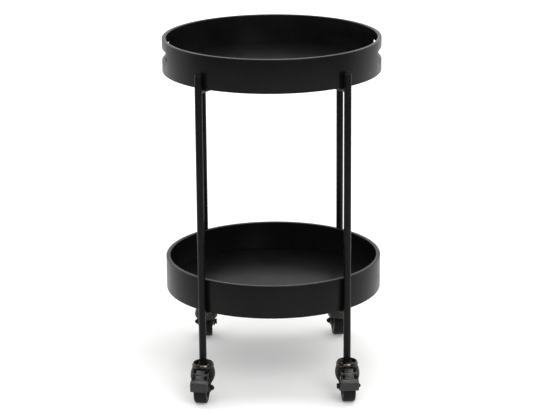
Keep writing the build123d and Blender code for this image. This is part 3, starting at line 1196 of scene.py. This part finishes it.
class CART_OT_brakes(Operator):
    """Mould the foot levers with their ridges and pedals, and head the pins"""

    bl_idname = "cart.brakes"
    bl_label = "Brakes"

    shoe = 32.6 * MM
    face = 35.6 * MM
    # Places round the wheel, in degrees above the axle's front
    pivot_angle = 62.0
    low_angle = 41.0
    high_angle = 80.0
    foot_angle = 5.0
    ridge_angles = (60.0, 47.0)
    ridge_half_foot = 2.0
    ridge_half_crest = 1.5
    ridge_rise = 1.1 * MM
    shank_width = 17 * MM
    shank_edge = 0.7 * MM
    pedal_width = 34 * MM
    pedal_edge = 2.3 * MM
    pedal_slope = 6.0 * MM
    pedal_reach = 35.9 * MM
    pivot_distance = 34.0 * MM
    boss = 3.2 * MM
    boss_length = 25 * MM
    boss_edge = 0.5 * MM
    boss_steps = 48
    hole = 1.55 * MM
    hole_length = 40 * MM
    pin = 1.5 * MM
    pin_head = 2.5 * MM
    pin_head_edge = 0.7 * MM
    pin_half = 15.1 * MM
    pin_half_headed = 16.1 * MM

    def execute(self, context):
        pivot = self.point(self.pivot_distance, self.pivot_angle)
        lever = self.lever(pivot)
        plastic = moulded("lever_plastic", finishes().lever, rough=0.32, gloss=0.7)
        deal(lever, "brake_lever", plastic, "caster_{}_brake", "lever_plastic", BRAKED)
        pin = across(self.headed_pin(), pivot)
        deal(pin, "brake_pin", blackened_steel(), "caster_{}_swivel", "dark_steel", BRAKED)
        return {"FINISHED"}

    def lever(self, pivot):
        lever = self.slab("brake_lever", self.shank_points(), self.shank_width)
        soften(lever, self.shank_edge, steps=3, sharp=40)
        pedal = self.slab("pedal_block", self.pedal_points(), self.pedal_width)
        soften(pedal, self.pedal_edge, steps=4, sharp=25)
        combine(lever, pedal, "UNION")
        boss = begin_rod("pivot_boss", self.boss_steps, self.boss, self.boss_length, pivot)
        pick(boss, "EDGE", lambda middle, part: abs(abs(middle.x) - self.boss_length / 2) < NEAR)
        bpy.ops.mesh.bevel(offset=self.boss_edge, segments=2, affect="EDGES")
        combine(lever, boss, "UNION")
        hole = begin_rod("pivot_hole", sizes().bar_steps, self.hole, self.hole_length, pivot)
        combine(lever, hole, "DIFFERENCE")
        return close(lever, crease=40)

    def headed_pin(self):
        """One half from its headed end to the plain shank, and the same at the other end."""
        end = [
            (0, self.pin_half_headed),
            (self.pin_head, self.pin_half_headed),
            (self.pin_head, self.pin_half),
            (self.pin, self.pin_half),
        ]
        points = [(radius, -spot) for radius, spot in end] + end[::-1]
        rounds = [((self.pin_head, way * self.pin_half_headed), self.pin_head_edge, 4) for way in (-1, 1)]
        return turned("brake_pin", points, sizes().bar_steps, rounds)

    def point(self, radius, angle):
        """A point round the wheel."""
        turn = math.radians(angle)
        return AXLE + Vector((0, -radius * math.cos(turn), radius * math.sin(turn)))

    def face_point(self, rise, angle):
        """A point on the lever's flat upper face."""
        return self.point(rise / math.cos(math.radians(angle - self.pivot_angle)), angle)

    def hollow(self, low, high, steps):
        """The curve over the tyre from one angle to another."""
        return [self.point(self.shoe, low + (high - low) * step / steps) for step in range(steps + 1)]

    def shank_points(self):
        """The hollow under the shank, then its ridged upper face."""
        foot = self.ridge_half_foot
        crest = self.ridge_half_crest
        rise = self.ridge_rise
        upper = [(self.high_angle, 0)]
        for middle in self.ridge_angles:
            for offset, height in ((foot, 0), (crest, rise), (-crest, rise), (-foot, 0)):
                upper.append((middle + offset, height))
        upper.append((self.low_angle, 0))
        ridged = [self.face_point(self.face + height, angle) for angle, height in upper]
        return self.hollow(self.low_angle, self.high_angle, steps=10) + ridged

    def pedal_points(self):
        """The hollow under the pedal, then its sloping top and its front."""
        points = self.hollow(self.foot_angle, self.low_angle, steps=8)
        crest = self.face_point(self.face, self.low_angle)
        front = AXLE.y - self.pedal_reach
        points.append(crest)
        points.append(Vector((0, front, crest.z - self.pedal_slope)))
        points.append(Vector((0, front, points[0].z)))
        return points

    def slab(self, name, points, width):
        """An outline across the wheel's axis, as thick as the width."""
        piece = outline(name, [point - Vector((width / 2, 0, 0)) for point in points])
        bpy.ops.mesh.select_all(action="SELECT")
        bpy.ops.mesh.extrude_region_move(TRANSFORM_OT_translate={"value": (width, 0, 0)})
        merge()
        return piece


class CART_OT_stage(Operator):
    """Set the floor, the light and the camera"""

    bl_idname = "cart.stage"
    bl_label = "Stage"

    # Each lamp's name, place, aim, width and height in metres, and power in watts
    panels = (
        ("overhead", (0, 0.1, 3.0), (0, 0, 0), 2.0, 2.0, 34),
        ("right_panel", (2.1, 0.1, 2.3), (0, 0, 0.3), 2.0, 2.0, 15),
        ("left_panel", (-2.1, 0.1, 2.3), (0, 0, 0.3), 2.0, 2.0, 9),
        ("front_strip", (0.1, -2.4, 2.2), (0, 0, 0.1), 4.2, 0.9, 20),
        ("front_box", (1.0, -2.3, 2.1), (0, 0, 0.1), 1.2, 1.2, 22),
    )
    air = (0.55, 0.55, 0.55)
    backdrop = (1, 1, 1)

    def execute(self, context):
        stage = context.scene.cart_stage
        self.camera(context, stage)
        self.floor(stage)
        self.world(context)
        self.lamps(context)
        context.scene.view_settings.view_transform = "Standard"
        return {"FINISHED"}

    def camera(self, context, stage):
        data = bpy.data.cameras.new("photo_camera")
        data.sensor_width = 36.0
        data.sensor_fit = "HORIZONTAL"
        data.lens = stage.lens
        data.clip_end = 100.0
        camera = bpy.data.objects.new("photo_camera", data)
        context.scene.collection.objects.link(camera)
        look = Matrix.Rotation(-stage.heading, 4, "Z") @ Matrix.Rotation(QUARTER_TURN - stage.tilt, 4, "X")
        camera.matrix_world = Matrix.Translation(stage.eye) @ look @ Matrix.Rotation(stage.roll, 4, "Z")
        context.scene.camera = camera

    def floor(self, stage):
        """A pale floor that pales to white far away, is darker in gloss and is clear from below."""
        floor = begin("studio_floor", bpy.ops.mesh.primitive_plane_add, size=stage.floor_size)
        deselect()
        material = bpy.data.materials.new("studio_floor")
        material.use_nodes = True
        nodes = Nodes(material.node_tree)
        nodes.tree.nodes.clear()
        rays = nodes.add("ShaderNodeLightPath").outputs
        spot = nodes.add("ShaderNodeTexCoord").outputs["Object"]
        place = nodes.add("ShaderNodeSeparateXYZ")
        nodes.feed(spot, place.inputs["Vector"])
        away = nodes.add("ShaderNodeVectorMath", operation="LENGTH")
        nodes.feed(spot, away.inputs[0])
        tone = nodes.mix(rays["Is Glossy Ray"], stage.floor_colour, stage.floor_mirrored)
        pale = nodes.add("ShaderNodeBsdfDiffuse")
        nodes.feed(tone, pale.inputs["Color"])
        far = nodes.spread(away.outputs["Value"], 0.2, 1.0, start=0.5, end=4.0)
        behind = nodes.spread(place.outputs["Y"], 0.0, 0.55, start=-0.9, end=1.0)
        lit = pale.outputs[0]
        for strength, kind in ((far, "Is Camera Ray"), (behind, "Is Glossy Ray")):
            both = nodes.add("ShaderNodeAddShader")
            nodes.feed(lit, both.inputs[0])
            nodes.feed(self.glow(nodes, strength, rays[kind]), both.inputs[1])
            lit = both.outputs[0]
        below = nodes.add("ShaderNodeMixShader")
        nodes.feed(nodes.add("ShaderNodeNewGeometry").outputs["Backfacing"], below.inputs["Fac"])
        nodes.feed(lit, below.inputs[1])
        nodes.feed(nodes.add("ShaderNodeBsdfTransparent").outputs[0], below.inputs[2])
        nodes.feed(below.outputs[0], nodes.add("ShaderNodeOutputMaterial").inputs["Surface"])
        floor.data.materials.append(material)

    def glow(self, nodes, strength, rays):
        """White light from the floor that one kind of ray sees."""
        share = nodes.add("ShaderNodeMath", operation="MULTIPLY")
        nodes.feed(strength, share.inputs[0])
        nodes.feed(rays, share.inputs[1])
        light = nodes.add("ShaderNodeEmission")
        nodes.feed(share.outputs["Value"], light.inputs["Strength"])
        return light.outputs[0]

    def world(self, context):
        """Grey air that the camera sees as white and gloss as a sweep from the front to the back."""
        world = bpy.data.worlds.new("studio")
        context.scene.world = world
        world.use_nodes = True
        nodes = Nodes(world.node_tree)
        rays = nodes.add("ShaderNodeLightPath").outputs
        way = nodes.add("ShaderNodeSeparateXYZ")
        nodes.feed(nodes.add("ShaderNodeTexCoord").outputs["Generated"], way.inputs["Vector"])
        sweep = nodes.spread(way.outputs["Y"], 0.12, 1.0, start=-0.35, end=0.45, curve="SMOOTHSTEP")
        plain = nodes.mix(rays["Is Camera Ray"], self.air, self.backdrop)
        tone = nodes.mix(rays["Is Glossy Ray"], plain, sweep)
        nodes.feed(tone, nodes.tree.nodes["Background"].inputs["Color"])

    def lamps(self, context):
        for name, spot, aim, width, height, power in self.panels:
            data = bpy.data.lights.new(name, "AREA")
            data.shape = "RECTANGLE"
            data.size = width
            data.size_y = height
            data.energy = power
            lamp = bpy.data.objects.new(name, data)
            lamp.visible_camera = False
            context.scene.collection.objects.link(lamp)
            turn = (Vector(aim) - Vector(spot)).to_track_quat("-Z", "Y")
            lamp.matrix_world = Matrix.Translation(spot) @ turn.to_matrix().to_4x4()


class CART_PT_pieces(Panel):
    """Lists the pieces of the cart"""

    bl_idname = "CART_PT_pieces"
    bl_label = "Bar Cart"
    bl_space_type = "VIEW_3D"
    bl_region_type = "UI"
    bl_category = "Bar Cart"

    def draw(self, context):
        for operator in OPERATORS:
            self.layout.operator(operator.bl_idname)


OPERATORS = (
    CART_OT_plain_nodes,
    CART_OT_tray_rims,
    CART_OT_tray_floors,
    CART_OT_legs,
    CART_OT_crosses,
    CART_OT_screws,
    CART_OT_caster_heads,
    CART_OT_caster_forks,
    CART_OT_wheels,
    CART_OT_axles,
    CART_OT_brakes,
    CART_OT_stage,
)
GROUPS = {"cart_sizes": CartSizes, "cart_finishes": CartFinishes, "cart_stage": CartStage}


def register():
    for group in GROUPS.values():
        bpy.utils.register_class(group)
    for name, group in GROUPS.items():
        setattr(bpy.types.Scene, name, PointerProperty(type=group))
    for operator in OPERATORS:
        bpy.utils.register_class(operator)
    bpy.utils.register_class(CART_PT_pieces)


def unregister():
    bpy.utils.unregister_class(CART_PT_pieces)
    for operator in reversed(OPERATORS):
        bpy.utils.unregister_class(operator)
    for name in GROUPS:
        delattr(bpy.types.Scene, name)
    for group in reversed(GROUPS.values()):
        bpy.utils.unregister_class(group)


def main():
    register()
    bpy.ops.cart.plain_nodes()
    bpy.ops.cart.tray_rims()
    bpy.ops.cart.tray_floors()
    bpy.ops.cart.legs()
    bpy.ops.cart.crosses()
    bpy.ops.cart.screws()
    bpy.ops.cart.caster_heads()
    bpy.ops.cart.caster_forks()
    bpy.ops.cart.wheels()
    bpy.ops.cart.axles()
    bpy.ops.cart.brakes()
    bpy.ops.cart.stage()
    deselect()


if __name__ == "__main__":
    main()
